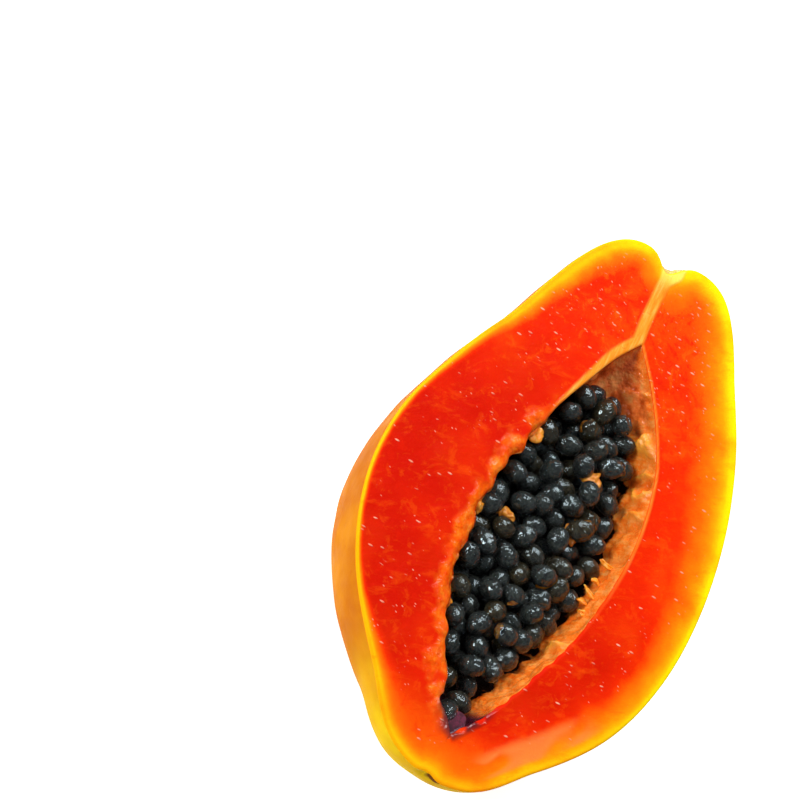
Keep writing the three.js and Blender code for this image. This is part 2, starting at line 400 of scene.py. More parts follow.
def mottled(paint, colour, share):
    """Adds small redder and paler blotches to the red flesh."""
    mottle = paint.noise(4.5, detail=5, rough=0.68, bend=0.5)
    ripe = paint.band(share, 0.55, 1.0)
    spread = paint.band(paint.attribute("dashes"), 0.2, 1.0, 0.35, 0.85)
    spread = paint.math("MULTIPLY", spread, ripe)
    redder = paint.math("MULTIPLY", paint.band(mottle, 0.50, 0.66), spread)
    colour = paint.mix(redder, colour, (0.76, 0.014, 0.0008))
    paler = paint.math("MULTIPLY", paint.band(mottle, 0.47, 0.33), spread)
    return paint.mix(paint.math("MULTIPLY", paler, 0.7), colour, (0.98, 0.115, 0.003))


def string_ends_and_glints(paint, share):
    """Cut ends of the fine strings in the flesh as short dashes, then how strongly they and specks show as
    pale painted highlights.
    """
    slant = paint.place(scale=(0.36, 1.0, 1.0), turn=(0, 0, -0.14))
    dash = paint.cells(1.9, slant)
    pick = paint.noise(2.7, detail=1, place=slant)
    density = paint.math("MULTIPLY", paint.attribute("dashes"), 0.13)
    keep = paint.band(paint.math("ADD", pick, density), 0.54, 0.59)
    dashes = paint.math("MULTIPLY", paint.band(dash, 0.18, 0.08), keep)
    dashes = paint.math("MULTIPLY", dashes, paint.band(share, 0.4, 0.7))
    painted_glints = paint.math("MULTIPLY", dashes, paint.band(paint.noise(4), 0.35, 0.65, 0.45, 1))
    fine = paint.cells(1.15, paint.place(scale=(0.5, 1.0, 1.0), turn=(0.2, 0, 0.25)))
    crowd = paint.band(paint.math("ADD", paint.noise(5, detail=2), density), 0.58, 0.66)
    specks = paint.math("MULTIPLY", paint.band(fine, 0.20, 0.08), crowd)
    specks = paint.math("MULTIPLY", specks, paint.band(share, 0.4, 0.7))
    return dashes, paint.math("MAXIMUM", painted_glints, paint.math("MULTIPLY", specks, 0.6))


def flesh_material():
    paint = Paint("flesh")
    # share: 0 at the peel, 0.3 at the end of the yellow and 1 where the flesh is fully red.
    share = paint.attribute("ripe")
    wobble = paint.math("MULTIPLY", paint.math("SUBTRACT", paint.noise(6, detail=3), 0.5), 0.35)
    share = paint.math("ADD", share, paint.math("MULTIPLY", wobble, paint.band(share, 0.1, 0.6)))
    colour = mottled(paint, ripening_colour(paint, share), share)
    # Faint paler veins and clouds lie across the flesh.
    across = paint.place(scale=(0.4, 1, 1), turn=(0, 0, -0.5))
    veins = paint.noise(3.0, detail=5, rough=0.65, place=across, bend=0.5)
    pale = paint.math("MULTIPLY", paint.band(veins, 0.53, 0.74), 0.30)
    colour = paint.mix(pale, colour, (0.98, 0.105, 0.003))
    dashes, painted_glints = string_ends_and_glints(paint, share)
    # Painted highlights: pale glints on the cut ends of the strings.
    colour = paint.mix(painted_glints, colour, (1.0, 0.42, 0.28))
    # The pale string from the stem, and the torn edge round the cavity.
    fibre = paint.noise(0.8, detail=3, rough=0.6, place=paint.place(scale=(1, 0.09, 1)))
    string = paint.ramp(fibre, (0.25, (0.97, 0.21, 0.008)), (0.5, (0.98, 0.32, 0.026)),
                        (0.75, (1.0, 0.48, 0.09)))
    bright = paint.mix(paint.attribute("notch"), string, (1.0, 0.84, 0.12))
    colour = paint.mix(paint.attribute("strand"), colour, bright)
    torn = paint.attribute("torn")
    pulp = paint.ramp(paint.noise(2.3, detail=3, rough=0.6), (0.3, (0.93, 0.070, 0.002)),
                      (0.52, (0.96, 0.135, 0.004)), (0.74, (1.0, 0.27, 0.018)))
    colour = paint.mix(torn, colour, pulp)
    # A wet patch towards the blossom end on the right of the cut: its paler colour is a painted reflection,
    # and the coat gives it real gloss.
    wet_sheen = paint.attribute("wet_sheen")
    colour = paint.mix(paint.math("MULTIPLY", wet_sheen, 0.75), colour, (0.94, 0.24, 0.045))
    stain = paint.attribute("juice")
    colour = paint.mix(paint.math("MULTIPLY", stain, 0.85), colour, JUICE)
    rough = paint.band(paint.noise(2.2, detail=4), 0.3, 0.7, 0.34, 0.52)
    wet = paint.math("MAXIMUM", paint.math("MULTIPLY", torn, 0.8), stain)
    wet = paint.math("MAXIMUM", wet, wet_sheen)
    rough = paint.blend(wet, rough, 0.2)
    patchy = paint.band(paint.noise(1.8, detail=3), 0.40, 0.62)
    coat = paint.math("MAXIMUM", paint.math("MULTIPLY", paint.math("MULTIPLY", torn, patchy), 0.45), stain)
    coat = paint.math("MAXIMUM", coat, paint.math("MULTIPLY", wet_sheen, 0.5))
    grain = paint.bump(paint.noise(0.55, detail=3, rough=0.6), 0.05)
    relief = paint.bump(veins, 0.14, normal=grain)
    relief = paint.bump(dashes, 0.12, normal=relief)
    string_relief = paint.math("MULTIPLY", fibre, paint.attribute("strand"))
    relief = paint.bump(string_relief, 0.16, normal=relief)
    lumps = paint.math("MULTIPLY", paint.noise(1.5, detail=3, rough=0.55), torn)
    relief = paint.bump(lumps, 0.45, normal=relief)
    glints = paint.math("MULTIPLY", paint.noise(0.7, detail=2), torn)
    relief = paint.bump(glints, 0.22, normal=relief)
    ripples = paint.math("MULTIPLY", paint.noise(3.5, detail=2), stain)
    relief = paint.bump(ripples, 1.2, normal=relief)
    paint.set(Base_Color=colour, Roughness=rough, Normal=relief, Subsurface_Weight=0.15,
              Subsurface_Scale=0.0015, Subsurface_Radius=(1.0, 0.28, 0.06), IOR=1.37,
              Specular_IOR_Level=0.03, Coat_Weight=coat, Coat_Roughness=0.06, Coat_IOR=1.6,
              Coat_Normal=relief)
    return paint.material


def cavity_material():
    paint = Paint("cavity_wall")
    strings = paint.noise(2.4, detail=5, rough=0.65, place=paint.place(scale=(0.7, 1, 0.5)), bend=0.4)
    colour = paint.ramp(strings, (0.28, (1.0, 0.125, 0.004)), (0.48, (1.0, 0.21, 0.018)),
                        (0.68, (1.0, 0.38, 0.080)))
    grains = paint.cells(0.8)
    colour = paint.mix(paint.band(grains, 0.42, 0.12, 0, 0.35), colour, (1.0, 0.38, 0.08))
    colour = paint.mix(paint.math("MULTIPLY", paint.attribute("fold"), 0.85), colour, (1.0, 0.40, 0.045))
    # Painted shade: the creases between the folds are darker.
    crease = paint.attribute("crease")
    colour = paint.mix(paint.math("MULTIPLY", crease, 0.5), colour, (0.80, 0.14, 0.012))
    # Painted shade: the deep hollow at the stem end of the cavity is darker and browner.
    hollow_shade = paint.attribute("hollow_shade")
    brown = paint.ramp(paint.noise(3.6, detail=4), (0.32, (0.56, 0.080, 0.009)),
                       (0.5, (0.92, 0.20, 0.036)), (0.68, (1.0, 0.38, 0.10)))
    colour = paint.mix(hollow_shade, colour, brown)
    # Under the seeds the wall is painted nearly black: painted shade among the seeds.
    seed_shade = paint.attribute("under")
    edge = paint.math("ADD", seed_shade, paint.band(paint.noise(2.6, detail=3), 0.3, 0.7, -0.3, 0.3))
    colour = paint.mix(paint.band(edge, 0.25, 0.8), colour, (0.012, 0.004, 0.003))
    stain = paint.attribute("juice")
    colour = paint.mix(stain, colour, JUICE)
    rough = paint.blend(stain, paint.band(strings, 0.3, 0.7, 0.08, 0.20), 0.06)
    relief = paint.bump(paint.noise(0.7, detail=4, rough=0.6), 0.14)
    relief = paint.bump(paint.math("MULTIPLY", grains, -1), 0.12, normal=relief)
    relief = paint.bump(strings, 0.35, normal=relief)
    ripples = paint.math("MULTIPLY", paint.noise(3.5, detail=2), stain)
    relief = paint.bump(ripples, 1.2, normal=relief)
    paint.set(Base_Color=colour, Roughness=rough, Normal=relief, Subsurface_Weight=0.2,
              Subsurface_Scale=0.003, Subsurface_Radius=(1.0, 0.35, 0.1), IOR=1.42,
              Specular_IOR_Level=0.6)
    return paint.material


def seed_core_material():
    paint = Paint("seed_core")
    furrows = paint.noise(0.9, detail=4, rough=0.6, bend=1.2)
    tone = paint.attribute("tone")
    dark = paint.ramp(furrows, (0.35, (0.001, 0.002, 0.002)), (0.56, (0.018, 0.027, 0.026)),
                      (0.76, (0.125, 0.135, 0.100)))
    brown = paint.ramp(furrows, (0.35, (0.008, 0.006, 0.004)), (0.62, (0.060, 0.046, 0.022)),
                       (0.85, (0.20, 0.15, 0.07)))
    colour = paint.mix(paint.band(tone, 0.68, 0.92), dark, brown)
    seam = paint.math("MULTIPLY", paint.attribute("seam"), paint.band(furrows, 0.35, 0.6, 0.3, 1))
    colour = paint.mix(seam, colour, (0.060, 0.070, 0.056))
    relief = paint.bump(furrows, 0.35)
    paint.set(Base_Color=colour, Roughness=0.35, Normal=relief, IOR=1.45, Specular_IOR_Level=0.2)
    return paint.material


def seed_coat_material():
    paint = Paint("seed_coat")
    tone = paint.attribute("tone")
    haze = paint.noise(1.7, detail=3, rough=0.6, bend=0.7)
    folds = paint.noise(1.8, detail=1, bend=1.4)
    clear = paint.mix(paint.band(haze, 0.46, 0.76), (0.80, 0.86, 0.84), (0.26, 0.30, 0.29))
    amber = paint.mix(paint.band(haze, 0.42, 0.72), (0.72, 0.66, 0.44), (0.46, 0.33, 0.11))
    colour = paint.mix(paint.band(tone, 0.72, 0.92), clear, amber)
    relief = paint.bump(paint.noise(1.0, detail=1), 0.05)
    relief = paint.bump(haze, 0.16, normal=relief)
    relief = paint.bump(folds, 0.30, normal=relief)
    paint.set(Base_Color=colour, Roughness=0.03, Normal=relief, Transmission_Weight=0.985, IOR=1.62,
              Specular_IOR_Level=1.0, Specular_Tint=(0.74, 0.92, 1.0))
    return paint.material


def pulp_material():
    paint = Paint("pulp")
    grain = paint.noise(1.1, detail=4, rough=0.6)
    colour = paint.ramp(grain, (0.3, (0.92, 0.20, 0.008)), (0.52, (0.97, 0.34, 0.025)),
                        (0.74, (1.0, 0.54, 0.10)))
    dark = paint.ramp(grain, (0.3, (0.16, 0.045, 0.006)), (0.55, (0.52, 0.19, 0.020)),
                      (0.75, (0.85, 0.42, 0.06)))
    colour = paint.mix(paint.attribute("murky"), colour, dark)
    relief = paint.bump(grain, 0.35)
    paint.set(Base_Color=colour, Roughness=0.16, Normal=relief, Subsurface_Weight=0.35,
              Subsurface_Scale=0.002, Subsurface_Radius=(1.0, 0.5, 0.15), IOR=1.42,
              Specular_IOR_Level=0.7)
    return paint.material


def juice_material():
    paint = Paint("juice")
    cloud = paint.noise(1.4, detail=2)
    colour = paint.ramp(cloud, (0.35, (0.05, 0.004, 0.010)), (0.65, (0.14, 0.015, 0.040)))
    paint.set(Base_Color=colour, Roughness=0.08, Normal=paint.bump(cloud, 0.06), IOR=1.7,
              Specular_IOR_Level=1.0, Specular_Tint=(0.90, 0.78, 1.0))
    return paint.material


# ------------------------------------------------------------------ skin, flesh and cavity in one mesh

ROWS = 400            # along the fruit
SKIN_STEPS = 190      # round the skin, from one cut edge to the other
CUT_STEPS = 84        # across the cut face, from the skin to the cavity
WALL_STEPS = 110      # round the cavity

# Width of the yellow layer under the peel in the cut face, on the right and on the left, and then
# of the orange between it and the red flesh, on the right and on the left. Both are wider on the
# right: partly the flesh's own colour, partly a painted glow where light shines through the rim.
YELLOW = np.array([
    (0, 3.2, 3.0, 10, 8), (30, 3.2, 2.0, 13, 5), (60, 2.8, 1.1, 14, 2.2), (90, 2.2, 0.6, 12, 1.1),
    (120, 1.6, 0.5, 9, 0.9), (150, 1.4, 0.8, 9, 1.6), (180, 1.6, 1.6, 9, 8),
])
# Folds of pulp on the right wall: place along the fruit, half width and height.
FOLDS = ((38, 0.9, 1.3), (26, 2.0, 2.6), (18.5, 0.8, 1.5), (13, 1.1, 2.0), (6.5, 0.8, 1.1), (-39, 1.7, 1.8))
CUT_EDGE = (0.7, 0.35)      # width and height of the rounding at the skin
RIM_EDGE = (0.9, 0.45)      # and at the cavity


def nearest(points, line):
    """Distance in the cut plane from every point to the nearest point of a line, and which it is."""
    flat = points.reshape(-1, 3)[:, :2]
    distance = np.empty(len(flat))
    index = np.empty(len(flat), int)
    for start in range(0, len(flat), 8000):
        part = flat[start:start + 8000]
        square = ((part[:, None, :] - line[None, :, :2]) ** 2).sum(2)
        index[start:start + 8000] = square.argmin(1)
        distance[start:start + 8000] = np.sqrt(square.min(1))
    return distance.reshape(points.shape[:-1]), index.reshape(points.shape[:-1])


def torn_share(y):
    """How torn the left rim of the cavity is at a place along the fruit."""
    return step(24, 8, y) * step(-80, -70, y)


def rim_shift(points):
    """How far the left rim is pushed towards the cavity, where its pulp was torn."""
    ragged = 0.9 * waves(points, 9, 21) + 0.45 * waves(points, 4.5, 22) + 0.08 * waves(points, 2, 23)
    return (0.2 + ragged) * torn_share(points[..., 1])


def heap_level(x, y):
    """Depth below the cut of the top seeds' centres: lower by the right wall, and at the stem end."""
    middle, half_width, _ = cavity_section(y)
    side = (x - middle) / half_width
    return 4.8 + 5.4 * step(0.25, 0.85, side) + 16 * step(30, 46, y)


def build_half():
    rows = np.linspace(0, np.pi, ROWS + 1)
    turn = rows - ROW_CROWDING * np.sin(2 * rows)
    top, bottom = -CAVITY[0, 0], -CAVITY[-1, 0]
    along = (top + bottom) / 2 + (top - bottom) / 2 * np.cos(rows)

    skin = skin_points(turn[:, None], np.linspace(0, np.pi, SKIN_STEPS + 1)[None, :])
    wall = cavity_points(along[:, None], np.linspace(np.pi, 0, WALL_STEPS + 1)[None, :])
    even = np.linspace(0, 1, CUT_STEPS + 1)
    share = (0.55 * even + 0.45 * (1 - np.cos(np.pi * even)) / 2)[None, 1:-1, None]
    left = skin[:, -1:] * (1 - share) + wall[:, :1] * share
    right = wall[:, -1:] * (1 - share) + skin[:, :1] * share
    grid = np.concatenate([skin, left, wall, right], axis=1)
    starts = np.cumsum([0, skin.shape[1], left.shape[1], wall.shape[1]])
    columns = grid.shape[1]
    is_skin = np.zeros(columns, bool)
    is_skin[:starts[1]] = True
    is_wall = np.zeros(columns, bool)
    is_wall[starts[2]:starts[3]] = True
    is_cut = ~(is_skin | is_wall)
    is_left = np.zeros(columns, bool)
    is_left[starts[1]:starts[2] + WALL_STEPS // 2] = True

    outline = np.concatenate([skin[:, 0], skin[::-1, -1]])
    mouth = np.concatenate([wall[:, -1], wall[::-1, 0]])
    rim, at = nearest(grid, outline)
    core, _ = nearest(grid, mouth)
    on_left = at >= ROWS + 1
    degrees = np.degrees(np.concatenate([turn, turn[::-1]]))[at]
    yellow = np.where(on_left, curve(YELLOW, 2, degrees), curve(YELLOW, 1, degrees))
    orange = np.where(on_left, curve(YELLOW, 4, degrees), curve(YELLOW, 3, degrees))
    ripe = np.minimum(rim / yellow, 1) * 0.3 + np.maximum(rim - yellow, 0) / orange * 0.7
    values = paint_values(grid, rim, core, ripe, is_skin, is_cut, is_wall, is_left, turn)
    grid = relieve(grid, rim, core, is_skin, is_cut, is_wall, is_left, values)

    # The rows at both ends fold flat onto one line, so their two sides become one.
    for row in (0, -1):
        grid[row, :starts[1]] = grid[row, :starts[1]].mean(0)
        grid[row, starts[2]:starts[3]] = grid[row, starts[2]:starts[3]].mean(0)
        grid[row, starts[3]:] = grid[row, starts[1]:starts[2]][::-1]

    row, column = np.meshgrid(np.arange(ROWS), np.arange(columns), indexing="ij")
    here = row * columns + column
    beside = row * columns + (column + 1) % columns
    faces = np.stack([here, beside, beside + columns, here + columns], axis=-1).reshape(-1, 4)
    face_slot = np.ones(columns, int)
    face_slot[:starts[1] - 1] = 0
    face_slot[starts[2]:starts[3] - 1] = 2
    slots = np.broadcast_to(face_slot, (ROWS, columns)).reshape(-1)
    piece = make_piece(
        "papaya_half_grown", grid.reshape(-1, 3), faces,
        [skin_material(), flesh_material(), cavity_material()], slots,
        {key: value.reshape(-1) for key, value in values.items()},
    )
    weld(piece, 0.00001)
    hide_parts("papaya_half")
    return piece


def paint_values(grid, rim, core, ripe, is_skin, is_cut, is_wall, is_left, turn):
    """What the materials need to know at each point, all but the creases and folds of the wall."""
    x, y, z = grid[..., 0], grid[..., 1], grid[..., 2]
    values = {"ripe": ripe}
    # Painted glow: the yellow rim turns brighter towards the right and the stem end.
    values["rim_glow"] = step(-0.10, 0.60, (x - 8) / 50 + y / 100)
    # Deeper red to the left and towards the blossom end: partly the flesh's own colour, partly painted shade.
    deep = np.maximum(step(0, -24, x) * step(55, 0, y), 0.9 * step(-8, -46, y))
    values["shade"] = 0.30 + 0.70 * deep * step(-84, -70, y)
    # At the stem end only the right side turns orange, partly a painted sheen.
    ends = 0.75 * step(-70, -86, y) + 0.35 * step(40, 66, y) * ~is_left
    values["ends"] = ends * step(0.3, 0.8, ripe)
    values["dashes"] = 0.25 + 0.75 * step(10, 60, y)
    # The string runs from the stem notch to the cavity, then down both of its edges.
    half_string = 1.9 + 1.8 * step(71, 77, y)
    off = np.abs(x - 0.3 - 1.0 * step(69, 77, y) - 0.5 * step(58, 50, y))
    straight = step(half_string + 0.5, half_string - 0.7, off) * step(47, 50.5, y)
    left_width = 0.9 + 2.4 * step(8, 50, y)
    left_branch = step(left_width + 0.3, left_width - 0.9, core) * step(2, 22, y) * step(53, 50, y)
    right_branch = 0.55 * step(1.3, 0.2, core) * step(-40, 10, y) * step(53, 50, y)
    branches = np.where(is_left[None, :] | (x < 2.4), left_branch, right_branch)
    values["strand"] = np.maximum(straight, branches) * is_cut * step(0.1, 0.8, rim)
    values["notch"] = step(69, 77, y)
    width = 1.6 + 2.2 * step(18, -14, y) + 1.7 * waves(grid, 8, 31) + 0.7 * waves(grid, 3, 32)
    torn_left = step(width + 2.6, width - 2.0, core) * torn_share(y) * is_left
    values["torn"] = np.where(is_cut, torn_left, 0)
    end = step(-62, -70, y) * step(10, 5, np.hypot(x - 1.5, (y + 70) * 0.7))
    spill = waves(grid, 6, 33)
    spills_left = is_left[None, :] | (x < 0)
    drops = np.where(spills_left, step(-1.6, 0.0, spill), step(-0.5, 0.4, spill + 0.2))
    reach = np.where(spills_left, 6.5, 2.4)
    values["juice"] = end * np.where(is_wall, 1, step(reach, 0.4, core) * drops)
    # The wet patch, whose paler colour is a painted reflection.
    patch = step(-50, -60, y) * step(8, 15, x) * step(2.4, 3.8, rim) * step(10.5, 7.5, rim)
    values["wet_sheen"] = patch * step(-0.9, 0.1, waves(grid, 9, 35)) * is_cut
    # Painted shade in the deep hollow at the stem end of the cavity.
    values["hollow_shade"] = step(29, 37, y) * step(1.5, 4.5, -z + 0 * y) * is_wall
    # Painted shade: the wall below the level of the top seeds turns nearly black.
    values["under"] = step(0.5, 4.0, -z - heap_level(x, y) + 0.8 * waves(grid, 5, 36)) * is_wall
    values["blossom"] = step(150, 176, np.degrees(turn))[:, None] * is_skin
    values["edge"] = np.where(is_skin, step(0.7, 0.1, -z), 0)
    uneven = 0.5 * waves(grid, 3, 34)
    values["scar"] = step(5.6, 4.4, np.hypot(x, z) + uneven) * is_skin * (y > 0)
    values["tip"] = step(2.2, 1.2, np.hypot(x - 1.5, z) + uneven) * is_skin * (y < 0)
    return {key: np.broadcast_to(value, y.shape).astype(float) for key, value in values.items()}


def relieve(grid, rim, core, is_skin, is_cut, is_wall, is_left, values):
    """Moves the surfaces into waves, lumps and creases, and adds the wall's creases and folds to values."""
    grid = grid.copy()
    x, y, z = (grid[..., i].copy() for i in range(3))
    middle, half_width, depth = cavity_section(y)
    # Torn pulp pushes the left rim sideways, fading into the flesh and down the wall.
    fade = np.where(is_cut, np.exp(-core / 4), np.exp(z / 5)) * is_left * ~is_skin
    grid[..., 0] += rim_shift(grid) * fade
    right = np.where(is_cut, np.exp(-core / 1.5), np.exp(z / 3)) * ~(is_left | is_skin)
    grid[..., 0] += 0.30 * waves(grid, 5, 52) * right * step(0, -50, y) * step(-80, -74, y)
    lumps = 0.30 * waves(grid, 6, 41) + 0.06 * waves(grid, 2.4, 42)
    rolled = 1.3 * np.clip(1 - core / 3.2, 0, 1) ** 2
    grid[..., 2] += np.where(is_cut, (lumps - 0.2 - rolled) * values["torn"], 0)
    grid[..., 2] -= np.where(is_wall, 1.3 * np.exp(z / 2) * torn_share(y) * is_left, 0)

    # The cut is nearly flat, with the string standing a little proud.
    cut = 0.10 * waves(grid, 40, 43) + 0.05 * waves(grid, 9, 44)
    cut += 0.22 * values["strand"]
    cut -= CUT_EDGE[1] * np.clip(1 - rim / CUT_EDGE[0], 0, 1) ** 2
    cut -= RIM_EDGE[1] * np.clip(1 - core / RIM_EDGE[0], 0, 1) ** 2
    grid[..., 2] += np.where(is_cut, cut, 0)

    # Cavity wall: soft folds with creases between them, and fine strings.
    inward = np.stack([(middle - x) / half_width, 0 * x, -z / depth], axis=-1)
    inward /= np.maximum(np.linalg.norm(inward, axis=-1, keepdims=True), 1e-6)
    folds = ridges(grid * (0.5, 1, 0.5), 15, 45)
    push = 0.75 * (folds - 0.6) + 0.3 * waves(grid, 4.5, 46) + 0.14 * waves(grid, 1.6, 47)
    room = step(0.2, 3, -z) * np.minimum(half_width / 8, 1)
    grid += inward * (push * room * is_wall)[..., None]
    # The creases are also given painted shade in the wall's colour.
    values["crease"] = step(0.30, 0.05, folds) * room * is_wall
    # A few folds of loose pulp hang from the right rim.
    wander = y + 0.25 * z + 1.2 * waves(grid, 8, 53)
    hanging = 0 * y
    for place, width, height in FOLDS:
        hanging = np.maximum(hanging, height * np.exp(-(((wander - place) / width) ** 2)))
    hanging *= step(0.3, 2.5, -z) * step(12, 6, -z) * (x > middle) * is_wall
    grid += inward * hanging[..., None] * (1 + 0.25 * waves(grid, 2.5, 54))[..., None]
    values["fold"] = np.clip(hanging / 1.6, 0, 1)
    top = np.where(is_wall, step(0.6, 0, -z), 0)
    grid[..., 2] -= RIM_EDGE[1] * top

    # Skin: broad unevenness, and a soft rounding where the knife went through.
    out = 0.22 * waves(grid, 34, 48) + 0.08 * waves(grid, 12, 49)
    normal = np.stack([x, 0.4 * y, z], axis=-1)
    normal /= np.maximum(np.linalg.norm(normal, axis=-1, keepdims=True), 1e-6)
    grid += normal * (out * step(0, 6, -z) * is_skin)[..., None]
    corky = (0.5 * waves(grid, 2.4, 50) + 0.25 * waves(grid, 1.1, 51)) * values["scar"]
    grid[..., 1] += np.where(is_skin, corky * step(0, 1, -z), 0)
    grid[..., 2] -= np.where(is_skin, CUT_EDGE[1] * step(0.4, 0, -z), 0)
    grid[..., 2] = np.maximum(grid[..., 2], -HEIGHT)
    return grid


# ------------------------------------------------------------------ seeds

COAT_SIZE = 1.04          # the wet coats touch, where the CAD seeds keep a gap
SEED_ACROSS, SEED_ALONG = 3.3, 3.5
SEED_NEAR = 5.9           # how near two seeds' centres come
LOWEST_SEED = -20
END_SEED = (-0.9, -72.2, -4.0)


def seed_places():
    """Centre and long axis of each separate CAD seed, in millimetres from the fruit's centre."""
    places = {}
    for name in sorted(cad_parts):
        if name.startswith("seed_") and name != "seed_bed":
            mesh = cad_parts[name].data
            points = np.array([vertex.co[:] for vertex in mesh.vertices]) / MM - CENTRE
            points = np.unique(points.round(4), axis=0)
            centre = (points.min(0) + points.max(0)) / 2
            _, axes = np.linalg.eigh(np.cov((points - centre).T))
            size = np.linalg.norm(points - centre, axis=1).max() / SEED_ALONG
            places[name] = (centre, axes, size)
    return places


def lower_places(taken, random):
    """Fills the hollow under and between the upper seeds, from the top down."""
    heap = np.array(taken)
    grid = np.meshgrid(np.arange(-20, 27, 0.9), np.arange(-74, 44, 0.9), np.arange(-5, LOWEST_SEED, -0.6))
    candidates = np.stack([part.ravel() for part in grid], axis=1)
    middle, half_width, depth = cavity_section(candidates[:, 1])
    across = np.abs(candidates[:, 0] - middle) / np.maximum(half_width - 3.2, 0.01)
    down = np.abs(candidates[:, 2]) / np.maximum(depth - 2.6, 0.01)
    inside = across ** CAVITY_FULLNESS + down ** CAVITY_FULLNESS < 1
    level = -0.3 - heap_level(candidates[:, 0], candidates[:, 1])
    candidates = candidates[inside & (candidates[:, 2] < level)]
    candidates = candidates[random.permutation(len(candidates))]
    candidates = candidates[np.argsort(-np.round(candidates[:, 2] / 1.5), kind="stable")]
    distance = np.min(np.linalg.norm(candidates[:, None] - heap[None], axis=2), axis=1)
    candidates = candidates[distance > SEED_NEAR]
    found = []
    while len(candidates):
        found.append(candidates[0])
        candidates = candidates[np.linalg.norm(candidates - candidates[0], axis=1) > SEED_NEAR]
    return found


def seed_shells(centre, axes, size, random, detail):
    """Points and faces of one seed: its clear coat and the dark seed inside."""
    points, faces = ball(detail)
    key = int(random.integers(1 << 30))
    tone = random.random()
    shrivelled = random.random() < 0.35
    if np.linalg.det(axes) < 0:
        axes = axes * (-1, 1, 1)
    stretch = np.array([SEED_ACROSS * random.uniform(0.89, 0.97), SEED_ACROSS * random.uniform(0.89, 0.97),
                        SEED_ALONG * random.uniform(1.04, 1.20)]) * size
    soft = 0.026 * waves(points, 1.7, key) + 0.022 * waves(points * (1, 1, 0.4), 0.7, key + 3)
    coat = points * (1 + soft)[:, None]
    if shrivelled:
        crinkle = ridges(points * (1, 1, 0.5), 0.8, key + 1)
        coat = coat * (0.93 + 0.10 * crinkle)[:, None]
    coat = coat * stretch * COAT_SIZE
    core_share = random.uniform(0.70, 0.86)
    furrow = ridges(points * (1, 1, 0.4), 0.7, key + 2)
    core = points * (0.92 + 0.09 * furrow)[:, None] * stretch * core_share
    drift = random.normal(size=3)
    core = core + drift / np.linalg.norm(drift) * 0.5 * (0.95 - core_share) * SEED_ACROSS * size
    both = np.concatenate([coat, core]) @ axes.T + centre
    faces = np.concatenate([faces, faces + len(points)])
    slots = np.repeat([0, 1], len(faces) // 2)
    ring = np.exp(-(((np.abs(points[:, 2] + 0.15 * waves(points, 2, key + 4)) - 0.42) / 0.14) ** 2))
    seam = np.concatenate([0 * ring, ring * random.uniform(0, 1)])
    return both, faces, slots, np.full(len(both), tone), seam


def build_seeds():
    random = np.random.default_rng(3)
    materials = [seed_coat_material(), seed_core_material()]
    upper = seed_places()
    for name, (centre, axes, size) in upper.items():
        points, faces, slots, tone, seam = seed_shells(centre, axes, size, random, 4)
        piece = make_piece(f"{name}_in_coat", points, faces, materials, slots,
                           {"tone": tone, "seam": seam})
        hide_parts(name)

    parts = []
    offset = 0
    for centre in [END_SEED, *lower_places([place[0] for place in upper.values()], random)]:
        axes = np.linalg.qr(random.normal(size=(3, 3)))[0]
        points, faces, slots, tone, seam = seed_shells(centre, axes, random.uniform(0.93, 1), random, 3)
        parts.append((points, faces + offset, slots, tone, seam))
        offset += len(points)
    points, faces, slots, tone, seam = (np.concatenate(column) for column in zip(*parts))
    piece = make_piece("lower_seeds", points, faces, materials, slots, {"tone": tone, "seam": seam})
    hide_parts("seed_bed")


# ------------------------------------------------------------------ loose pulp among the seeds

# Short stubs that held seeds: place along the fruit, depth and length.
STUBS = (
    (-8.5, 6.5, 4.0), (-14.5, 8.0, 2.4), (-19.5, 6.0, 4.2), (-22, 7.5, 3.0), (-24.5, 6.0, 2.2),
)
# Pulp stuck between seeds: place across, along and up, size, and how dark it is, mostly darker for the deeper
# spots.
SPOTS = (
    (-12.4, 8, -3.2, 4.4, 0), (9.3, 9.2, -5.4, 4.6, 0.5), (-9, -16, -5.2, 3.6, 0.6),
    (12.6, -3, -6.8, 4, 0.6), (11, -7.5, -7.0, 4.2, 0.4), (11, -22, -8.0, 7, 0.9), (4.4, -44.5, -5, 3.2, 0.8),
    (2.5, -34.5, -4.8, 3, 0.7), (-18.6, -20, -3.2, 4, 0.1), (0.5, 22, -6, 3, 0.5),
    (-15.6, -46, -3.8, 4.6, 0.1),
)


# Juice standing in the narrow blossom end of the cavity.
POOL_AT = (1.4, -74.4, -1.7)
POOL_HALF_SIZE = (3.0, 3.8, 0.5)


def pulp_bit(start, end, width, key, taper, flat, lumps):
    """A lumpy finger of pulp from one point to another, thinner at its end."""
    points, faces = ball(4)
    start, end = np.array(start, float), np.array(end, float)
    length = np.linalg.norm(end - start)
    long = (end - start) / length
    side = np.cross(long, (0.3, 0.2, 1))
    side /= np.linalg.norm(side)
    axes = np.stack([side, np.cross(long, side), long])
    along = (points[:, 2] + 1) / 2
    lumpy = 1 + lumps * waves(points, 1.4, key) + 0.45 * lumps * waves(points, 0.6, key + 1)
    body = points * np.maximum(lumpy, 0.3)[:, None] * (width / 2, width / 2 * flat, length / 2)
    body[:, :2] *= (1 - taper * along)[:, None]
    body[:, 0] += 0.14 * length * np.sin(np.pi * along) * (1 if key % 2 else -1)
    return body @ axes + (start + end) / 2, faces


